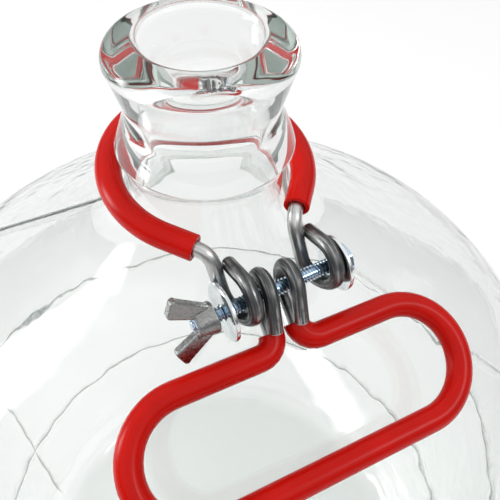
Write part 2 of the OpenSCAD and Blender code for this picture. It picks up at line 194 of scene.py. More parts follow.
def settings():
    scene = bpy.context.scene
    return scene.carboy_glass, scene.carboy_clamp, scene.carboy_stage


# -------- paths


def arc_points(centre, r, start, end, steps):
    """Points of an arc in a flat outline, with its angles in degrees."""
    turns = [radians(start + (end - start) * i / steps) for i in range(steps + 1)]
    return [Vector((centre[0] + r * cos(a), centre[1] + r * sin(a))) for a in turns]


def bend_corners(centre, r, u, v, start, end, count):
    """Corners of the straight-sided path that an arc of equal bends rounds off."""
    half = (end - start) / count / 2
    turns = [start + half * (2 * i + 1) for i in range(count)]
    return [centre + (u * cos(a) + v * sin(a)) * (r / cos(half)) for a in turns]


def path_steps(corners, radii, straight_step=4 * MM, bend_step=1.8 * MM):
    """Splits a rounded path into moves of its section, each with the length it covers as its last item.

    A move is ("go", vector, length) or ("turn", centre, axis, angle, length).
    """
    def setback(i):
        if i in (0, len(corners) - 1):
            return 0.0
        turn = (corners[i] - corners[i - 1]).angle(corners[i + 1] - corners[i])
        return radii[i] * tan(turn / 2)

    steps = []
    for i in range(1, len(corners)):
        way = (corners[i] - corners[i - 1]).normalized()
        run = (corners[i] - corners[i - 1]).length - setback(i) - setback(i - 1)
        if run > 1e-7:
            count = max(1, ceil(run / straight_step))
            steps += [("go", way * (run / count), run / count)] * count
        if i < len(corners) - 1:
            ahead = (corners[i + 1] - corners[i]).normalized()
            turn = way.angle(ahead)
            inward = (ahead - way * ahead.dot(way)).normalized()
            centre = corners[i] - way * setback(i) + inward * radii[i]
            count = max(3, ceil(turn * radii[i] / bend_step))
            steps += [("turn", centre, way.cross(inward), turn / count, turn * radii[i] / count)] * count
    return steps


class ClampShape:
    """Places of the clamp's parts, and the corners and bend radii of each rod and sleeve."""

    def __init__(self, glass, clamp):
        c = clamp
        self.bolt = Vector((0, -c.bolt_reach, glass.total - c.bolt_drop))
        self.x_axis = Vector((1, 0, 0))
        self.place_ring(glass, c)
        self.place_handle(glass, c)
        left_reach = (c.ring_eye_r + c.washer_d / 2 - c.eye_back) * tan(c.eye_twist) + c.rod_d / 2
        self.nut_washer_x = c.left_eye_x - left_reach - c.washer_gap - c.washer_t
        self.head_washer_x = c.right_eye_x + c.rod_d / 2 + c.washer_gap
        self.head_x = self.head_washer_x + c.washer_t
        self.nut_face_x = self.nut_washer_x - c.nut_gap

    def place_ring(self, glass, c):
        ring_r = glass.neck_d / 2 + c.neck_gap + c.sleeve_d / 2 + c.ring_offset
        centre = Vector((0, -c.ring_offset, glass.total - c.ring_drop))
        front = Vector((0, -cos(c.ring_tilt), -sin(c.ring_tilt)))
        up, out = Vector((0, 0, 1)), Vector((0, -1, 0))
        eye_out = Vector((sin(c.eye_twist), -cos(c.eye_twist), 0))
        lower_r = c.ring_eye_r / cos(c.eye_twist)
        leg = eye_out * cos(c.leg_slope) - up * sin(c.leg_slope)
        normal = self.x_axis.cross(front)

        def eye(x):
            """Corners of one eye, from the tail at the neck to the knee at the ring."""
            middle = self.bolt + Vector((x, c.eye_back, c.eye_rise))
            low = middle - self.x_axis * (c.ring_eye_r * tan(c.eye_twist))
            foot = low - (eye_out * sin(c.leg_slope) + up * cos(c.leg_slope)) * lower_r
            knee = foot + leg * ((centre - foot).dot(normal) / leg.dot(normal))
            over, turn = c.eye_overrun, pi / 2
            tail = middle + Vector((0, sin(over), cos(over))) * c.ring_eye_r
            tail += Vector((0, cos(over), -sin(over))) * c.tail_len
            top = bend_corners(middle, c.ring_eye_r, up, out, -over, turn, 2)
            under = bend_corners(low, lower_r, eye_out, -up, 0, turn + c.leg_slope, 2)
            return [tail] + top + under + [knee], foot

        def leave(knee, side):
            """The turn at which the straight from a knee touches the ring's circle."""
            arm = knee - centre
            x, forward = arm.x, arm.dot(front)
            return atan2(forward, x) - side * acos(ring_r / hypot(x, forward))

        left, left_foot = eye(c.left_eye_x)
        right, right_foot = eye(c.right_eye_x)
        start, end = leave(left[-1], -1), leave(right[-1], 1) + 2 * pi
        loop = bend_corners(centre, ring_r, self.x_axis, front, start, end, 4)
        eye_radii = [0, c.ring_eye_r, c.ring_eye_r, lower_r, lower_r, c.ring_bend_r]
        self.ring = left + loop + right[::-1], eye_radii + [ring_r] * 4 + eye_radii[::-1]

        def stop(knee, towards, foot):
            """The sleeve's mouth, a bare stretch past the knee's bend."""
            way = (towards - knee).normalized()
            half = (knee - foot).angle(towards - knee) / 2
            return knee + way * (c.ring_bend_r * tan(half) + c.ring_bare)

        mouths = stop(left[-1], loop[0], left_foot), stop(right[-1], loop[-1], right_foot)
        self.ring_sleeve = [mouths[0]] + loop + [mouths[1]], [0] + [ring_r] * 4 + [0]

    def place_handle(self, glass, c):
        slope = glass.shoulder_angle
        cone_top = Vector((
            glass.neck_d / 2 + glass.flare_r * (1 - cos(slope)),
            glass.total - glass.flare_drop - glass.flare_r * sin(slope),
        ))
        normal = Vector((cos(slope), sin(slope)))
        over_cone = (Vector((c.bolt_reach, self.bolt.z)) - cone_top).dot(normal)
        arm = hypot(c.strand_drop, c.leg_drop)
        seat = asin((over_cone - c.sleeve_d / 2 - c.seat_gap) / arm)
        lean = slope + atan(c.leg_drop / c.strand_drop) - seat
        out = Vector((0, -sin(lean), -cos(lean)))
        face = Vector((0, -cos(lean), sin(lean)))
        along = self.x_axis * cos(c.handle_skew) + out * sin(c.handle_skew)
        across = out * cos(c.handle_skew) - self.x_axis * sin(c.handle_skew)
        leg_way = across * cos(c.leg_cant) - along * sin(c.leg_cant)

        def on_handle(s, t, q):
            return self.bolt + self.x_axis * c.handle_eye_x + along * s + across * t + face * q

        def on_leg(side, t, q):
            return on_handle(side * c.handle_eye_gap / 2, 0, q) + leg_way * t

        middle_q = c.handle_eye_r - c.leg_drop
        cut_q = c.cut_gap + c.rod_d - c.leg_drop
        cut_reach = hypot(c.cut_leg, middle_q - cut_q)
        slant = asin(c.handle_eye_r / cut_reach) + atan((middle_q - cut_q) / c.cut_leg)

        def eye(side):
            """From the cut end up in front of the bolt, over it and down behind it."""
            middle = on_leg(side, 0, middle_q)
            over = bend_corners(middle, c.handle_eye_r, face, -leg_way, -slant, pi, 3)
            return [on_leg(side, c.cut_leg, cut_q)] + over

        def grip_end(side):
            s = side * (c.grip_len / 2 + c.grip_end_r) - c.grip_shift
            return [on_handle(s, t, -c.leg_drop) for t in (c.strand_drop, c.strand_drop + 2 * c.grip_end_r)]

        turns = [[on_leg(side, c.strand_drop / cos(c.leg_cant), -c.leg_drop)] for side in (-1, 1)]
        mouths = [on_leg(side, c.eye_leg, -c.leg_drop) for side in (-1, 1)]
        loop = turns[0] + grip_end(-1) + grip_end(1)[::-1] + turns[1]
        loop_radii = [c.strand_bend_r] + [c.grip_end_r] * 4 + [c.strand_bend_r]
        eye_radii = [0] + [c.handle_eye_r] * 3
        self.handle = eye(-1) + loop + eye(1)[::-1], eye_radii + loop_radii + eye_radii[::-1]
        self.handle_sleeve = [mouths[0]] + loop + [mouths[1]], [0] + loop_radii + [0]

    def on_bolt(self, bm, x, turn=Matrix()):
        """Carries a shape drawn round Z onto the bolt's axis, with its Z pointing to +X."""
        place = Matrix.Translation(self.bolt + self.x_axis * x) @ Matrix.Rotation(pi / 2, 4, "Y")
        bmesh.ops.transform(bm, matrix=place @ turn, verts=bm.verts[:])
        return bm


# -------- mesh helpers


def placed(name, data):
    """Puts a new object with this data in the scene."""
    item = bpy.data.objects.new(name, data)
    bpy.context.scene.collection.objects.link(item)
    return item


def mesh_object(bm, name, material):
    """Turns a finished bmesh into an object with one material."""
    mesh = bpy.data.meshes.new(name)
    bm.to_mesh(mesh)
    bm.free()
    mesh.materials.append(material)
    return placed(name, mesh)


def new_piece(bm, name, body, node, material, smooth_angle=35):
    """Turns a finished bmesh into a piece that rides on a body and replaces its CAD node."""
    bmesh.ops.recalc_face_normals(bm, faces=bm.faces[:])
    piece = mesh_object(bm, name, material)
    piece.data.shade_smooth()
    piece.data.set_sharp_from_angle(angle=radians(smooth_angle))
    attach(piece, body)
    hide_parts(node)
    return piece


def extruded(bm, edges):
    """Extrudes edges in place and returns their new vertices and edges."""
    geom = bmesh.ops.extrude_edge_only(bm, edges=edges)["geom"]
    verts = [g for g in geom if isinstance(g, bmesh.types.BMVert)]
    own = set(verts)
    return verts, [g for g in geom if isinstance(g, bmesh.types.BMEdge) and own.issuperset(g.verts)]


def sweep(corners, radii, section_radii, sides=32, edge=0.3 * MM):
    """Bends a round section along a path. One radius gives a rod, two give a tube.

    The attribute rod_place holds where a point lay on the straight rod before it was bent,
    with its z measured from the nearer end.
    """
    bm = bmesh.new()
    place = bm.verts.layers.float_vector.new("rod_place")
    first = (corners[1] - corners[0]).normalized()
    aim = Vector((0, 0, 1)).rotation_difference(first).to_matrix().to_4x4()
    for r in section_radii:
        for v in bmesh.ops.create_circle(bm, segments=sides, radius=r)["verts"]:
            v[place] = v.co
    bmesh.ops.transform(bm, matrix=Matrix.Translation(corners[0]) @ aim, verts=bm.verts[:])
    is_tube = len(section_radii) > 1
    edges = start_edges = bm.edges[:]
    if is_tube:
        bmesh.ops.bridge_loops(bm, edges=start_edges)
    for kind, *move, covered in path_steps(corners, radii):
        verts, edges = extruded(bm, edges)
        if kind == "go":
            bmesh.ops.translate(bm, vec=move[0], verts=verts)
        else:
            centre, axis, turn = move
            bmesh.ops.rotate(bm, cent=centre, matrix=Matrix.Rotation(turn, 3, axis), verts=verts)
        for v in verts:
            v[place] = v[place] + Vector((0, 0, covered))
    if is_tube:
        bmesh.ops.bridge_loops(bm, edges=edges)
    else:
        for loop in (start_edges, edges):
            bmesh.ops.edgeloop_fill(bm, edges=loop)
    bmesh.ops.bevel(
        bm, geom=start_edges + edges, offset=edge, segments=3, profile=0.5, affect="EDGES", material=-1,
    )
    total = max(v[place].z for v in bm.verts)
    for v in bm.verts:
        v[place].z = min(v[place].z, total - v[place].z)
    return bm


def turned(profile, sides):
    """Spins a closed flat outline of (radius, height) points round the Z axis."""
    bm = bmesh.new()
    verts = [bm.verts.new((p[0], 0, p[1])) for p in profile]
    edges = [bm.edges.new(pair) for pair in zip(verts, verts[1:] + verts[:1])]
    bmesh.ops.spin(bm, geom=verts + edges, axis=(0, 0, 1), angle=2 * pi, steps=sides, use_merge=True)
    bmesh.ops.remove_doubles(bm, verts=bm.verts[:], dist=1e-7)
    return bm


# -------- materials


def fill_in(node, values):
    """Gives each input its value, or links it to the socket that drives it."""
    for label, value in values.items():
        if isinstance(value, bpy.types.NodeSocket):
            node.id_data.links.new(value, node.inputs[label])
        else:
            node.inputs[label].default_value = value


def add_node(tree, kind, values=None, **setup):
    """Adds a shader node, sets it up and fills in its inputs."""
    node = tree.nodes.new("ShaderNode" + kind)
    for name, value in setup.items():
        setattr(node, name, value)
    fill_in(node, values or {})
    return node


def node_material(name):
    """A new material with its node tree, its shader and its output."""
    material = bpy.data.materials.new(name)
    material.use_nodes = True
    tree = material.node_tree
    tree.nodes.clear()
    shader = add_node(tree, "BsdfPrincipled")
    output = add_node(tree, "OutputMaterial", {"Surface": shader.outputs["BSDF"]})
    return material, tree, shader, output


def effect_group(name, inputs, outputs):
    """An empty shader node group, the outputs of its input node, and its output node."""
    group = bpy.data.node_groups.new(name, "ShaderNodeTree")
    for side, sockets in (("INPUT", inputs), ("OUTPUT", outputs)):
        for label, kind in sockets.items():
            group.interface.new_socket(label, in_out=side, socket_type="NodeSocket" + kind)
    return group, group.nodes.new("NodeGroupInput").outputs, group.nodes.new("NodeGroupOutput")


def grain_group():
    """Grain that can be drawn out along z, as on drawn wire and on extruded tube."""
    inputs = {"Vector": "Vector", "Scale": "Float", "Along": "Float", "Detail": "Float"}
    group, given, made = effect_group("drawn_grain", inputs, {"Grain": "Float"})
    along = add_node(group, "CombineXYZ", {"X": 1, "Y": 1, "Z": given["Along"]}).outputs["Vector"]
    drawn = add_node(group, "VectorMath", {0: given["Vector"], 1: along}, operation="MULTIPLY")
    texture = add_node(group, "TexNoise", {
        "Vector": drawn.outputs["Vector"], "Scale": given["Scale"], "Detail": given["Detail"],
        "Roughness": 0.62,
    })
    fill_in(made, {"Grain": texture.outputs["Fac"]})
    return group


def patches_group():
    """Soft patches of a darker and a lighter tone, with their mask."""
    inputs = {"Vector": "Vector", "Scale": "Float", "Detail": "Float", "Dark": "Color", "Light": "Color"}
    group, given, made = effect_group("tone_patches", inputs, {"Color": "Color", "Patches": "Float"})
    texture = add_node(group, "TexNoise", {label: given[label] for label in ("Vector", "Scale", "Detail")})
    mask = spread(group, texture.outputs["Fac"], 0.36, 0.64, 0, 1)
    tones = {"Factor": mask, "A": given["Dark"], "B": given["Light"]}
    mix = add_node(group, "Mix", tones, data_type="RGBA")
    fill_in(made, {"Color": mix.outputs["Result"], "Patches": mask})
    return group


EFFECTS = {"drawn_grain": grain_group, "tone_patches": patches_group}


def effect(tree, name, vector, **values):
    """Places an effect in a material with its own values. The group is built the first time."""
    group = bpy.data.node_groups.get(name) or EFFECTS[name]()
    return add_node(tree, "Group", {"Vector": vector, **values}, node_tree=group).outputs


def grain(tree, place, scale, detail, along=1):
    """Fine grain at a place. Less than 1 along z draws it out that way."""
    return effect(tree, "drawn_grain", place, Scale=scale, Along=along, Detail=detail)["Grain"]


def toned(tree, place, scale, detail, rgb, low, high):
    """Patches of a colour times two shades."""
    dark, light = (*Vector(rgb) * low, 1), (*Vector(rgb) * high, 1)
    return effect(tree, "tone_patches", place, Scale=scale, Detail=detail, Dark=dark, Light=light)


def spread(tree, value, low, high, to_low, to_high):
    """Maps part of a value's range onto another range."""
    values = {"Value": value, "From Min": low, "From Max": high, "To Min": to_low, "To Max": to_high}
    return add_node(tree, "MapRange", values).outputs["Result"]


def blend_colours(tree, mask, under, over):
    """Goes from one colour to another as the mask goes from 0 to 1."""
    values = {"Factor": mask, "A": (*under, 1), "B": (*over, 1)}
    return add_node(tree, "Mix", values, data_type="RGBA").outputs["Result"]


def parts_of(tree, vector):
    """The X, Y and Z of a vector."""
    return add_node(tree, "SeparateXYZ", {"Vector": vector}).outputs


def calculated(tree, operation, a, b=0):
    """A Math node on two values, each a socket or a number."""
    return add_node(tree, "Math", {0: a, 1: b}, operation=operation).outputs["Value"]


def bumped(tree, shader, height, distance, strength):
    """Lets a height stand out of a surface by a distance."""
    bump = add_node(tree, "Bump", {"Height": height, "Distance": distance, "Strength": strength})
    fill_in(shader, {"Normal": bump.outputs["Normal"]})


def object_place(tree):
    return add_node(tree, "TexCoord").outputs["Object"]


def attribute(tree, name):
    """The outputs of an attribute that the mesh carries."""
    return add_node(tree, "Attribute", attribute_name=name).outputs


def blown_glass(glass):
    """Clear glass with slow waves and rough mould marks.

    A ray that has been reflected more than twice inside the wall would be dropped and leave a
    black patch. It goes straight on instead, and where it is caught in the neck or the lip it
    takes a darker colour, painted shade that stands in for the dark inner reflections of the thick
    glass there. Shadow rays and very long paths go straight on too, nearly untinted.
    """
    material, tree, shader, output = node_material("clear_glass")
    place = object_place(tree)
    waves, stipple = grain(tree, place, 22, 3), grain(tree, place, 750, 3)
    rough = calculated(tree, "MULTIPLY", attribute(tree, "mould_mark")["Fac"], stipple)
    fill_in(shader, {
        "Base Color": (*glass.tint, 1), "Transmission Weight": 1, "IOR": 1.5,
        "Roughness": calculated(tree, "MULTIPLY", rough, 0.8),
    })
    height = calculated(tree, "ADD", waves, calculated(tree, "MULTIPLY", rough, 1.2))
    bumped(tree, shader, height, 1 * MM, 0.4)
    light = add_node(tree, "LightPath").outputs
    trapped = calculated(tree, "GREATER_THAN", light["Glossy Depth"], 2.5)
    lost = calculated(tree, "GREATER_THAN", light["Ray Depth"], 8.5)
    shoulder_top, neck_foot = glass.total - 150 * MM, glass.total - 120 * MM
    # Painted shade of the caught rays: full in the neck and the lip, faint from the shoulder down
    neck_shade_share = spread(tree, parts_of(tree, place)["Z"], shoulder_top, neck_foot, 0.1, 1)
    caught = calculated(tree, "MULTIPLY", trapped, neck_shade_share)
    # Colour of rays that go straight on: painted shade where they are caught high up, near plain light
    # elsewhere
    tint = blend_colours(tree, caught, glass.straight, glass.caught_shade)
    through = add_node(tree, "BsdfTransparent", {"Color": tint})
    passes = calculated(tree, "MAXIMUM", calculated(tree, "MAXIMUM", trapped, lost), light["Is Shadow Ray"])
    mix = add_node(tree, "MixShader", {0: passes, 1: shader.outputs["BSDF"], 2: through.outputs["BSDF"]})
    fill_in(output, {"Surface": mix.outputs["Shader"]})
    return material


def soft_sleeve(clamp):
    """Satin tube, with the faint lines of its extrusion."""
    material, tree, shader, _ = node_material("red_sleeve")
    place = attribute(tree, "rod_place")["Vector"]
    drawn = grain(tree, place, 900, 2, along=0.04)
    fill_in(shader, {
        "Base Color": toned(tree, place, 60, 2, clamp.sleeve_red, 0.94, 1.06)["Color"],
        "Roughness": spread(tree, drawn, 0.3, 0.7, 0.24, 0.3), "Specular IOR Level": 0.14,
        "Subsurface Weight": 0.03, "Subsurface Radius": (1.2 * MM, 0.3 * MM, 0.2 * MM),
        "Subsurface Scale": 1,
    })
    bumped(tree, shader, drawn, 0.02 * MM, 0.25)
    return material


def mill_steel(clamp):
    """Dark scale with drawn scratches at the bare ends, and brighter drawn steel from the sleeves on."""
    material, tree, shader, _ = node_material("mill_steel")
    place = attribute(tree, "rod_place")["Vector"]
    streaks = grain(tree, place, 1400, 5, along=0.06)
    patches = effect(tree, "tone_patches", place, Scale=260, Detail=3)["Patches"]
    from_end = parts_of(tree, place)["Z"]
    past_eye = spread(tree, from_end, 38 * MM, 47 * MM, 0, 1)
    sheared = spread(tree, from_end, 0.25 * MM, 0.6 * MM, 1, 0)
    bright = calculated(tree, "MAXIMUM", past_eye, sheared)
    scratches, sheen = spread(tree, streaks, 0.46, 0.68, 0, 0.9), spread(tree, streaks, 0.3, 0.6, 0.4, 0.9)
    rubbed = calculated(tree, "MULTIPLY", scratches, spread(tree, patches, 0, 1, 0.25, 1))
    worn = calculated(tree, "MAXIMUM", rubbed, calculated(tree, "MULTIPLY", bright, sheen))
    fill_in(shader, {
        "Base Color": blend_colours(tree, worn, clamp.steel_dark, clamp.steel_worn),
        "Roughness": spread(tree, worn, 0, 1, 0.42, 0.24), "Metallic": 1,
    })
    bumped(tree, shader, streaks, 0.12 * MM, 0.8)
    return material


def zinc_plate(name, rgb):
    """Bright plating with a fine grain."""
    material, tree, shader, _ = node_material(name)
    place = object_place(tree)
    skin = grain(tree, place, 2200, 2)
    fill_in(shader, {
        "Base Color": toned(tree, place, 160, 2, rgb, 0.9, 1.1)["Color"],
        "Roughness": spread(tree, skin, 0.3, 0.7, 0.08, 0.2), "Metallic": 1,
    })
    bumped(tree, shader, skin, 0.01 * MM, 0.3)
    return material


def cast_zinc(clamp):
    """Grey casting, cloudy and slightly pitted."""
    material, tree, shader, _ = node_material("cast_zinc")
    place = object_place(tree)
    cloud = toned(tree, place, 900, 5, clamp.cast, 0.86, 1.16)
    roughness = spread(tree, cloud["Patches"], 0, 1, 0.18, 0.3)
    fill_in(shader, {"Base Color": cloud["Color"], "Roughness": roughness, "Metallic": 1})
    bumped(tree, shader, grain(tree, place, 1400, 4), 0.2 * MM, 0.8)
    return material


# -------- glass


# How far the lip's rounding sinks, as a share of its radius, the hollow under the collar, and the
# rounding of the bore into the neck
LIP_SINK = 0.74
COLLAR_ROOT_R = 0.9 * MM
BORE_ROUND_DROP = 3 * MM
BORE_ROUND_OUT = 1.2 * MM
BORE_END_DROP = 12 * MM


def glass_profile(g):
    """The outline of the bottle's wall: outside from the mouth down, and inside back up."""
    top, lean, swing = g.total, g.shoulder_angle, degrees(g.waist_swing)
    slope = degrees(lean)
    body_r, neck_r, bore_r = g.body_d / 2, g.neck_d / 2, g.bore_d / 2
    lip = (g.lip_d / 2 - g.lip_r, top - g.mouth_edge_r - g.lip_r * LIP_SINK)
    waist = (g.waist_d / 2 + g.waist_curve, top - g.waist_drop)
    collar = (g.collar_d / 2 - g.collar_edge_r, top - g.collar_drop + g.collar_edge_r)
    root = (neck_r + COLLAR_ROOT_R, top - g.collar_drop - COLLAR_ROOT_R)
    flare = (neck_r + g.flare_r, top - g.flare_drop)
    cone_top = Vector(flare) - Vector((cos(lean), sin(lean))) * g.flare_r
    cone_end_r = body_r - g.shoulder_r * (1 - cos(lean))
    cone_end_z = cone_top.y - (cone_end_r - cone_top.x) / tan(lean)
    shoulder = (body_r - g.shoulder_r, cone_end_z - g.shoulder_r * sin(lean))
    heel = (body_r - g.heel_r, g.heel_r)

    def bead(height):
        """A mould ring, as one wave of a cosine from its upper edge to its lower one."""
        turns = [pi * (1 - i / 5) for i in range(11)]
        proud = [g.ring_proud * (1 + cos(a)) / 2 for a in turns]
        return [Vector((body_r + out, height + g.ring_half * a / pi)) for a, out in zip(turns, proud)]

    outside = (
        arc_points((bore_r + g.mouth_edge_r, top - g.mouth_edge_r), g.mouth_edge_r, 180, 90, 8)
        + arc_points(lip, g.lip_r, 80, -26, 14)
        + arc_points(waist, g.waist_curve, 180 - swing, 180 + swing, 12)
        + arc_points(collar, g.collar_edge_r, swing, -90, 6)
        + arc_points(root, COLLAR_ROOT_R, 90, 180, 4)
        + arc_points(flare, g.flare_r, 180, 180 + slope, 28)
        + arc_points(shoulder, g.shoulder_r, slope, 0, 40)
        + bead(g.high_ring_h)
        + bead(g.low_ring_h)
        + arc_points(heel, g.heel_r, 0, -90, 16)
    )
    foot_r, bore_end = body_r - g.heel_r - g.foot_w, top - g.bore_depth
    punt_shares = ((1, 0), (0.9, 0.35), (0.75, 0.7), (0.4, 0.95))
    punt = [Vector((foot_r * across, g.punt_h * up)) for across, up in punt_shares]
    inside = (
        [Vector((p.x, p.y + g.base)) for p in reversed(punt)]
        + arc_points(heel, g.heel_r - g.wall, -80, 0, 14)
        + arc_points(shoulder, g.shoulder_r - g.wall, 0, slope, 40)
        + arc_points(flare, g.flare_r + g.wall, 180 + slope, 184, 28)
        + [Vector((neck_r - g.wall, bore_end - BORE_END_DROP))]
        + [Vector((bore_r + BORE_ROUND_OUT, bore_end - BORE_ROUND_DROP)), Vector((bore_r, bore_end))]
    )
    return outside + punt, inside


def even_out(points, longest):
    """Adds points along straight runs, so that no side of an outline is longer than given."""
    out = [points[0]]
    for a, b in zip(points, points[1:]):
        count = max(1, ceil((b - a).length / longest))
        out += [a.lerp(b, i / count) for i in range(1, count + 1)]
    return [p for i, p in enumerate(out) if i == 0 or (p - out[i - 1]).length > 1e-6]


# Azimuths of the two mould seams, beside which the even round gives way to close steps, in degrees
SEAM_TURNS = (radians(-43.7), radians(136.3))
SEAM_STEPS = (0, 0.1, 0.2, 0.32, 0.48, 0.7, 1.0, 1.5, 2.2, 3.2)
SEAM_MARGIN = radians(3.8)
ROUND_STEPS = 168


def from_seam(azimuth):
    """The turn between an azimuth and the nearer seam."""
    return min(abs(remainder(azimuth - seam, 2 * pi)) for seam in SEAM_TURNS)


def seam_azimuths():
    """Azimuths from +Y towards +X: an even round, with close steps beside the mould seams."""
    close = [seam + radians(side * s) for seam in SEAM_TURNS for s in SEAM_STEPS for side in (-1, 1)]
    even = [2 * pi * i / ROUND_STEPS for i in range(ROUND_STEPS)]
    far = [a for a in even if from_seam(a) > SEAM_MARGIN]
    return sorted({round(a % (2 * pi), 6) for a in close + far})


def build_glass(g):
    """Turns the outline round the neck's axis and raises the mould seams."""
    outside, inside = (even_out(points, longest=9 * MM) for points in glass_profile(g))
    bm = bmesh.new()
    proud = bm.verts.layers.float.new("seam_proud")
    mark = bm.verts.layers.float.new("mould_mark")
    turns = seam_azimuths()
    seam_foot, seam_top = g.heel_r * 0.4, g.total - g.collar_drop - 1.5 * MM
    seam_least_r = g.bore_d / 2 + 6 * MM
    verts = [bm.verts.new((0, p.x, p.y)) for p in outside]
    for v in verts:
        v[proud] = 1.0 if seam_foot < v.co.z < seam_top and v.co.y > seam_least_r else 0.0
    verts += [bm.verts.new((0, p.x, p.y)) for p in inside]
    bottom = bm.verts.new((0, 0, g.punt_h))
    top = bm.verts.new((0, 0, g.punt_h + g.base))
    bmesh.ops.rotate(bm, matrix=Matrix.Rotation(-turns[0], 3, "Z"), verts=verts)
    loop = verts[:len(outside)] + [bottom]
    edges = [bm.edges.new(pair) for pair in zip(loop, loop[1:])]
    loop = [top] + verts[len(outside):] + [verts[0]]
    edges += [bm.edges.new(pair) for pair in zip(loop, loop[1:])]
    for now, after in zip(turns, turns[1:] + [turns[0] + 2 * pi]):
        fresh, edges = extruded(bm, edges)
        bmesh.ops.rotate(bm, matrix=Matrix.Rotation(now - after, 3, "Z"), verts=fresh)
    bmesh.ops.remove_doubles(bm, verts=bm.verts[:], dist=1e-6)
    for v in bm.verts:
        if v[proud] > 0.5:
            azimuth, r = atan2(v.co.x, v.co.y), hypot(v.co.x, v.co.y)
            rise = exp(-((from_seam(azimuth) * r / g.seam_w) ** 2))
            near_ring = min(abs(v.co.z - height) for height in (g.low_ring_h, g.high_ring_h))
            v[mark] = max(rise, exp(-((near_ring / g.ring_half) ** 2)))
            stretch = 1 + g.seam_h * rise / r
            v.co.x, v.co.y = v.co.x * stretch, v.co.y * stretch
    return bm


# -------- bolt, washers, wing nut


def build_bolt(shape, c):
    """The threaded shank with its chamfered tip, and the hexagonal head."""
    steps, crest, pitch = 30, c.bolt_d / 2, c.thread_pitch
    root, in_head = crest - c.thread_depth, 0.5 * MM
    bm = bmesh.new()
    # Radius, and place as a share of the pitch
    flank = [(root, 0), (root, 0.12), (crest, 0.46), (crest, 0.6), (root, 0.94), (root, 1)]
    verts = [bm.verts.new((r, 0, -c.bolt_len - 2 * pitch + share * pitch)) for r, share in flank]
    edges = [bm.edges.new(pair) for pair in zip(verts, verts[1:])]
    turns = ceil(c.bolt_len / pitch) + 3
    bmesh.ops.spin(
        bm, geom=verts + edges, axis=(0, 0, 1), dvec=(0, 0, pitch / steps),
        angle=2 * pi * turns, steps=steps * turns,
    )
    bmesh.ops.remove_doubles(bm, verts=bm.verts[:], dist=2e-6)
    for height, side in ((-c.bolt_len, 1), (in_head, -1)):
        cut = bmesh.ops.bisect_plane(
            bm, geom=bm.verts[:] + bm.edges[:] + bm.faces[:], plane_co=(0, 0, height),
            plane_no=(0, 0, -side), clear_outer=True,
        )["geom_cut"]
        rim = [g for g in cut if isinstance(g, bmesh.types.BMEdge)]
        bmesh.ops.contextual_create(bm, geom=rim)
    tip = c.bolt_d * 0.17
    for v in bm.verts:
        above = v.co.z + c.bolt_len
        if above < tip:
            r, limit = hypot(v.co.x, v.co.y), crest - tip + above
            if r > limit > 0:
                v.co.x, v.co.y = v.co.x * limit / r, v.co.y * limit / r
    add_head(bm, c)
    return shape.on_bolt(bm, shape.head_x)


def add_head(bm, c):
    """A hexagonal head whose corners are turned off by a cone."""
    sides, half = 96, c.head_flats / 2
    cone_h, cone_slope = 0.9 * MM, 1.5
    blunt = half / cos(pi / 6) - 0.35 * MM
    ring = bmesh.ops.create_circle(bm, cap_ends=True, segments=sides, radius=1)["verts"]
    # Height and scale of each row, from the slightly rounded underside to the top of the cone
    rows = [(0, 0.96), (0.15 * MM, 1)] + [(c.head_h - (1 - i / 6) * cone_h, 1) for i in range(7)]
    edges = list(dict.fromkeys(e for v in ring for e in v.link_edges))

    def shape_row(verts, z, scale):
        turned_off = blunt - max(0.0, z - (c.head_h - cone_h)) * cone_slope
        for v in verts:
            turn = atan2(v.co.y, v.co.x)
            flat = half / cos((turn + pi / 6) % (pi / 3) - pi / 6)
            r = min(flat, turned_off) * scale
            v.co = Vector((cos(turn) * r, sin(turn) * r, z))

    shape_row(ring, *rows[0])
    for row in rows[1:]:
        verts, edges = extruded(bm, edges)
        shape_row(verts, *row)
    bmesh.ops.contextual_create(bm, geom=edges)


def build_washer(shape, c, x):
    """A stamped washer, rounder at the outer edge of its lower face."""
    edge = 0.22 * MM
    outer, inner, t = c.washer_d / 2, c.washer_bore / 2, c.washer_t
    profile = (
        arc_points((inner + edge, edge), edge, 180, 270, 3)
        + arc_points((outer - edge * 2, edge * 2), edge * 2, 270, 360, 5)
        + arc_points((outer - edge, t - edge), edge, 0, 90, 3)
        + arc_points((inner + edge, t - edge), edge, 90, 180, 3)
    )
    return shape.on_bolt(turned(profile, 96), x)


def wing_outline(c):
    """One wing beside the hub: x away from the bolt, y back from the hub's front face."""
    half, reach, hub = c.wing_span / 2, c.wing_reach, c.hub_d / 2
    points = [(hub - 2.5 * MM, 0.8 * MM), (hub - 0.2 * MM, 1 * MM), (half - 0.6 * MM, reach - 3.8 * MM)]
    points += arc_points((half - 1.4 * MM, reach - 2.9 * MM), 1.4 * MM, -20, 60, 5)
    points += arc_points((half - 4.6 * MM, reach - 1.2 * MM), 1.2 * MM, 60, 160, 5)
    points += [(hub - 2.6 * MM, c.hub_len - 0.4 * MM)]
    return [Vector(p) for p in points]


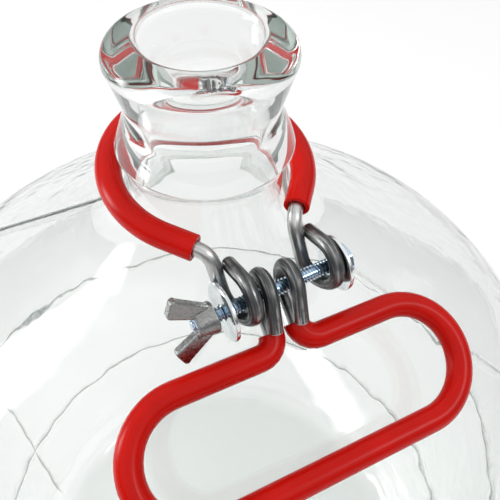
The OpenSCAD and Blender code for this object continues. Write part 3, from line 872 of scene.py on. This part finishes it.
def build_wing_nut(shape, c):
    """Hub and wings, to be melted together into one casting."""
    hub, bore = c.hub_d / 2, c.bolt_d / 2 + 0.05 * MM
    taper, chamfer, edge = 0.7 * MM, 0.4 * MM, 0.6 * MM
    profile = (
        [Vector((bore, chamfer)), Vector((bore + chamfer, 0))]
        + arc_points((hub - edge, edge), edge, 270, 360, 4)
        + arc_points((hub - taper - edge, c.hub_len - edge), edge, 0, 90, 4)
        + [Vector((bore + chamfer, c.hub_len)), Vector((bore, c.hub_len - chamfer))]
    )
    bm = turned(profile, 64)
    for side in (0, pi):
        face = bm.faces.new([bm.verts.new((p.x, -c.wing_t / 2, p.y)) for p in wing_outline(c)])
        solid = bmesh.ops.extrude_face_region(bm, geom=[face])["geom"]
        top = [g for g in solid if isinstance(g, bmesh.types.BMVert)]
        bmesh.ops.translate(bm, vec=(0, c.wing_t, 0), verts=top)
        wing = set(top) | set(face.verts)
        bmesh.ops.rotate(bm, matrix=Matrix.Rotation(side, 3, "Z"), verts=list(wing))
        edges = [e for e in bm.edges if wing.issuperset(e.verts)]
        bmesh.ops.bevel(
            bm, geom=edges, offset=0.45 * MM, segments=2, profile=0.5, affect="EDGES", material=-1,
        )
    turn = Matrix.Rotation(-c.wing_turn, 4, "Z") @ Matrix.Rotation(pi, 4, "X")
    return shape.on_bolt(bm, shape.nut_face_x, turn)


def melt(piece, voxel, rounds):
    """Remeshes a piece into one skin and smooths its corners into fillets."""
    remesh = piece.modifiers.new("melt", "REMESH")
    remesh.mode = "VOXEL"
    remesh.voxel_size = voxel
    remesh.use_smooth_shade = True
    soften = piece.modifiers.new("soften", "SMOOTH")
    soften.factor = 0.5
    soften.iterations = rounds
    graph = bpy.context.evaluated_depsgraph_get()
    mesh = bpy.data.meshes.new_from_object(piece.evaluated_get(graph))
    piece.modifiers.clear()
    old, piece.data = piece.data, mesh
    bpy.data.meshes.remove(old)
    piece.data.shade_smooth()


# -------- operators


class CARBOY_OT_glass(bpy.types.Operator):
    """Blow the bottle: one wall with its lip, collar, mould rings, seams and pushed-up base"""

    bl_idname = "carboy.glass"
    bl_label = "Glass bottle"

    def execute(self, context):
        glass, _, _ = settings()
        bottle, clear = build_glass(glass), blown_glass(glass)
        new_piece(bottle, "glass_bottle", "carboy", "carboy_glass", clear, smooth_angle=50)
        return {"FINISHED"}


class CARBOY_OT_rods(bpy.types.Operator):
    """Bend the two steel rods: the neck ring with its eyes and the handle with its hairpins"""

    bl_idname = "carboy.rods"
    bl_label = "Bent rods"

    def execute(self, context):
        glass, clamp, _ = settings()
        shape, steel = ClampShape(glass, clamp), mill_steel(clamp)
        section = [clamp.rod_d / 2]
        ring, handle = sweep(*shape.ring, section), sweep(*shape.handle, section)
        new_piece(ring, "ring_wire", "neck_ring", "neck_ring_rod", steel)
        new_piece(handle, "handle_wire", "handle", "handle_rod", steel)
        return {"FINISHED"}


class CARBOY_OT_sleeves(bpy.types.Operator):
    """Slip the soft tubes over the rods"""

    bl_idname = "carboy.sleeves"
    bl_label = "Soft sleeves"

    def execute(self, context):
        glass, clamp, _ = settings()
        shape, red = ClampShape(glass, clamp), soft_sleeve(clamp)
        section = [clamp.sleeve_d / 2, clamp.sleeve_bore / 2]
        paths = shape.ring_sleeve, shape.handle_sleeve
        ring, handle = (sweep(*path, section, sides=40, edge=0.35 * MM) for path in paths)
        new_piece(ring, "ring_tube", "neck_ring", "neck_ring_sleeve", red)
        new_piece(handle, "handle_tube", "handle", "handle_sleeve", red)
        return {"FINISHED"}


class CARBOY_OT_fasteners(bpy.types.Operator):
    """Cut the bolt and the washers and cast the wing nut"""

    bl_idname = "carboy.fasteners"
    bl_label = "Bolt, washers and wing nut"

    def execute(self, context):
        glass, clamp, _ = settings()
        shape, cast = ClampShape(glass, clamp), cast_zinc(clamp)
        blue, bright = zinc_plate("zinc_bolt", clamp.zinc), zinc_plate("zinc_washers", clamp.bright_zinc)
        bolt = build_bolt(shape, clamp)
        new_piece(bolt, "threaded_bolt", "bolt", "clamp_bolt", blue, smooth_angle=30)
        at_head, at_nut = (build_washer(shape, clamp, x) for x in (shape.head_washer_x, shape.nut_washer_x))
        new_piece(at_head, "washer_at_head", "bolt", "head_washer", bright)
        new_piece(at_nut, "washer_at_nut", "nut_washer", "nut_washer", bright)
        nut = build_wing_nut(shape, clamp)
        nut = new_piece(nut, "cast_wing_nut", "wing_nut", "wing_nut", cast)
        melt(nut, voxel=0.15 * MM, rounds=2)
        return {"FINISHED"}


class CARBOY_OT_stage(bpy.types.Operator):
    """Lay the floor, hang the lights and set up the camera"""

    bl_idname = "carboy.stage"
    bl_label = "Floor, lights and camera"

    def execute(self, context):
        _, _, stage = settings()
        context.scene.view_settings.view_transform = "Standard"
        add_floor(stage)
        add_room_light(stage)
        for light in SOFTBOXES:
            add_softbox(*light)
        add_camera(stage)
        return {"FINISHED"}


def add_floor(stage):
    """A plain floor, just under the bottle's foot."""
    bm = bmesh.new()
    bmesh.ops.create_grid(bm, x_segments=1, y_segments=1, size=6)
    material, _, shader, _ = node_material("floor")
    fill_in(shader, {"Base Color": (*stage.floor, 1), "Roughness": 0.6})
    floor = mesh_object(bm, "floor", material)
    floor.location.z = -0.2 * MM


def add_room_light(stage):
    """A white room whose walls are darker near the horizon, which draws the edges of the glass."""
    world = bpy.data.worlds.new("room")
    bpy.context.scene.world = world
    world.use_nodes = True
    tree = world.node_tree
    direction = add_node(tree, "TexCoord").outputs["Generated"]
    upward = spread(tree, parts_of(tree, direction)["Z"], 0.2, 0.5, 0, 1)
    tone = blend_colours(tree, upward, stage.wall, stage.ceiling)
    fill_in(tree.nodes["Background"], {"Color": tone, "Strength": stage.sky})


# Name, place, point that it faces, width, height and power of each softbox
SOFTBOXES = (
    ("left_box", (-1.25, 0.75, 0.78), (0, 0, 0.4), 0.5, 1.0, 27),
    ("front_box", (0.64, -0.91, 1.4), (0, 0, 0.4), 0.34, 0.5, 7),
)


def add_softbox(name, place, target, width, height, power):
    """A lamp whose face is brightest in its middle."""
    data = bpy.data.lights.new(name, "AREA")
    data.shape = "RECTANGLE"
    data.size, data.size_y, data.energy = width, height, power
    data.use_nodes = True
    tree = data.node_tree
    across = parts_of(tree, add_node(tree, "NewGeometry").outputs["Parametric"])
    arches = [calculated(tree, "MULTIPLY", across[axis], pi) for axis in ("X", "Y")]
    fall = [calculated(tree, "SINE", arch) for arch in arches]
    fill_in(tree.nodes["Emission"], {"Strength": calculated(tree, "MULTIPLY", *fall)})
    lamp = placed(name, data)
    lamp.location = place
    lamp.rotation_euler = (Vector(target) - Vector(place)).to_track_quat("-Z", "Y").to_euler()


def add_camera(stage):
    data = bpy.data.cameras.new("view")
    data.lens, data.sensor_width, data.clip_start = stage.lens, 36, 10 * MM
    camera = placed("view", data)
    aim = (
        Matrix.Rotation(-stage.heading, 4, "Z")
        @ Matrix.Rotation(pi / 2 - stage.pitch, 4, "X")
        @ Matrix.Rotation(stage.roll, 4, "Z")
    )
    camera.matrix_world = Matrix.Translation(stage.camera) @ aim
    bpy.context.scene.camera = camera


# -------- panel and registration


OPERATORS = (CARBOY_OT_glass, CARBOY_OT_rods, CARBOY_OT_sleeves, CARBOY_OT_fasteners, CARBOY_OT_stage)
SETTINGS = {
    "carboy_glass": CarboyGlassSettings,
    "carboy_clamp": CarboyClampSettings,
    "carboy_stage": CarboyStageSettings,
}


class CARBOY_PT_panel(bpy.types.Panel):
    bl_label = "Carboy"
    bl_idname = "CARBOY_PT_panel"
    bl_space_type = "VIEW_3D"
    bl_region_type = "UI"
    bl_category = "Carboy"

    def draw(self, context):
        for operator in OPERATORS:
            self.layout.operator(operator.bl_idname)
        for name, group in SETTINGS.items():
            box = self.layout.box()
            for key in group.__annotations__:
                box.prop(getattr(context.scene, name), key)


def register():
    for cls in (*SETTINGS.values(), *OPERATORS, CARBOY_PT_panel):
        bpy.utils.register_class(cls)
    for name, group in SETTINGS.items():
        setattr(bpy.types.Scene, name, PointerProperty(type=group))


def unregister():
    for name in SETTINGS:
        delattr(bpy.types.Scene, name)
    for cls in reversed((*SETTINGS.values(), *OPERATORS, CARBOY_PT_panel)):
        bpy.utils.unregister_class(cls)


def main():
    register()
    bpy.ops.carboy.glass()
    bpy.ops.carboy.rods()
    bpy.ops.carboy.sleeves()
    bpy.ops.carboy.fasteners()
    bpy.ops.carboy.stage()


if __name__ == "__main__":
    main()
